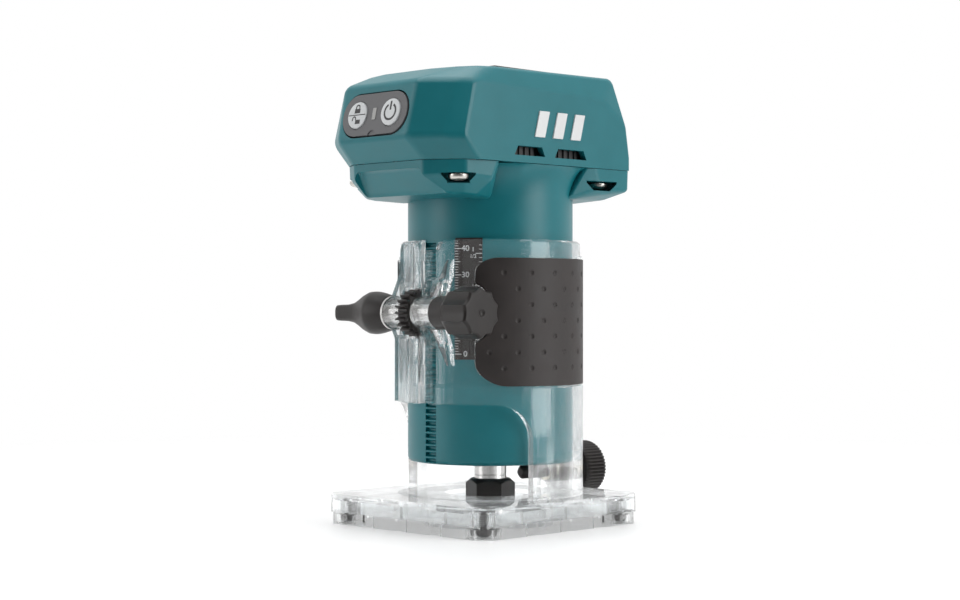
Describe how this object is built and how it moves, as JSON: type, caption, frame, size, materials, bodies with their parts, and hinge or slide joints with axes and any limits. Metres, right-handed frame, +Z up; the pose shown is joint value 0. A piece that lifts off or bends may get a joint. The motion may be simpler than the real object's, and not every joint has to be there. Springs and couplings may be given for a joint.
{
  "type": "trim router",
  "caption": "Cordless trim router: motor unit sliding in a clear square base, with rack height adjuster, clamp nut, collet and battery rails.",
  "frame": {"origin": "on the spindle axis at the sole of the base, at the mouth of the bit opening", "axes": "+Z up along the spindle, -Y toward the control panel, rack and slit, +X toward the height knob"},
  "size_m": [0.09, 0.1212, 0.1756],
  "materials": {
    "clear_moulding": "polished clear polycarbonate",
    "grip_rubber": "matt moulded rubber with dimples",
    "teal_housing": "fine satin moulded plastic",
    "dark_knob": "satin moulded plastic",
    "black_steel": "black oxide steel",
    "bright_steel": "ground steel",
    "zinc_screw": "zinc-plated screw",
    "brass": "machined brass",
    "scale_label": "printed strip, white marks",
    "panel_grey": "satin panel",
    "button_light": "satin button cap",
    "badge_white": "raised white trim",
    "lens_clear": "clear lens",
    "deck_black": "black moulded plastic",
    "board_green": "circuit board",
    "copper": "enamelled copper",
    "tinned": "tinned blades",
    "aluminium_cast": "cast aluminium",
    "lamination": "stacked laminations",
    "magnet": "nickel-plated magnet",
    "insulator": "nylon",
    "wire_jacket": "silicone wire"
  },
  "bodies": {
    "base": {"base_housing": "clear_moulding", "base_plate": "clear_moulding", "base_screws": "black_steel", "grip_right": "grip_rubber", "grip_left": "grip_rubber", "clamp_washer": "bright_steel", "guide_insert": "brass"},
    "motor_unit": {"motor_housing": "teal_housing", "head_cover": "teal_housing", "scale_strip": "scale_label", "head_screws": "zinc_screw", "side_badges": "badge_white", "control_panel": "panel_grey", "led_window": "lens_clear", "switch_board": "board_green", "tactile_switches": "deck_black", "dial_pot": "deck_black", "battery_deck": "deck_black", "terminal_block": "deck_black", "terminals": "tinned", "controller_tray": "aluminium_cast", "controller_board": "board_green", "phase_leads": "wire_jacket", "stator_core": "lamination", "stator_coils": "copper", "stator_insulators": "insulator", "sensor_board": "board_green", "fan_baffle": "deck_black", "lower_bearing": "bright_steel", "bearing_retainer": "bright_steel", "retainer_screws": "zinc_screw", "bearing_bracket": "aluminium_cast", "bracket_screws": "zinc_screw", "bearing_boot": "grip_rubber", "upper_bearing": "bright_steel", "work_lights": "lens_clear", "light_board": "board_green"},
    "adjuster": {"pinion": "dark_knob", "pinion_shaft": "bright_steel", "adjusting_knob": "dark_knob"},
    "clamp": {"clamp_nut": "dark_knob", "clamp_nut_insert": "brass"},
    "guide_screw": {"guide_knob": "dark_knob", "guide_shank": "black_steel"},
    "spindle": {"spindle": "bright_steel", "rotor_core": "lamination", "rotor_magnets": "magnet", "rotor_end_plates": "insulator", "fan": "deck_black", "collet_cone": "bright_steel"},
    "collet_nut": {"collet_nut": "black_steel"},
    "lock_button": {"lock_button": "button_light"},
    "power_button": {"power_button": "button_light"},
    "speed_dial": {"speed_dial": "dark_knob"}
  },
  "joints": [
    {"name": "motor_slide", "type": "slide", "parent": "base", "child": "motor_unit", "axis": [0, 0, 1], "range_m": [-0.003, 0.037]},
    {"name": "pinion_spin", "type": "hinge", "parent": "base", "child": "adjuster", "pos_m": [0, -0.04, 0.0825], "axis": [1, 0, 0], "range_deg": [-21, 257.5]},
    {"name": "clamp_turn", "type": "hinge", "parent": "base", "child": "clamp", "pos_m": [0, -0.04, 0.0825], "axis": [1, 0, 0], "range_deg": [0, 90]},
    {"name": "guide_screw_turn", "type": "hinge", "parent": "base", "child": "guide_screw", "pos_m": [0, 0.05, 0.0185], "axis": [0, 1, 0], "continuous": true},
    {"name": "spindle_spin", "type": "hinge", "parent": "motor_unit", "child": "spindle", "pos_m": [0, 0, 0.05], "axis": [0, 0, 1], "continuous": true},
    {"name": "collet_nut_turn", "type": "hinge", "parent": "spindle", "child": "collet_nut", "pos_m": [0, 0, 0.013], "axis": [0, 0, 1], "range_deg": [0, 360]},
    {"name": "lock_press", "type": "slide", "parent": "motor_unit", "child": "lock_button", "axis": [0, 0.9742, -0.2256], "range_m": [0, 0.0005], "stiffness_N_per_m": 1500},
    {"name": "power_press", "type": "slide", "parent": "motor_unit", "child": "power_button", "axis": [0, 0.9742, -0.2256], "range_m": [0, 0.0005], "stiffness_N_per_m": 1500},
    {"name": "dial_turn", "type": "hinge", "parent": "motor_unit", "child": "speed_dial", "pos_m": [0, -0.037, 0.1653], "axis": [1, 0, 0], "range_deg": [-130, 130]}
  ],
  "couplings": [
    {"joint": "pinion_spin", "follows": "motor_slide", "rad_per_m": 121.21}
  ]
}
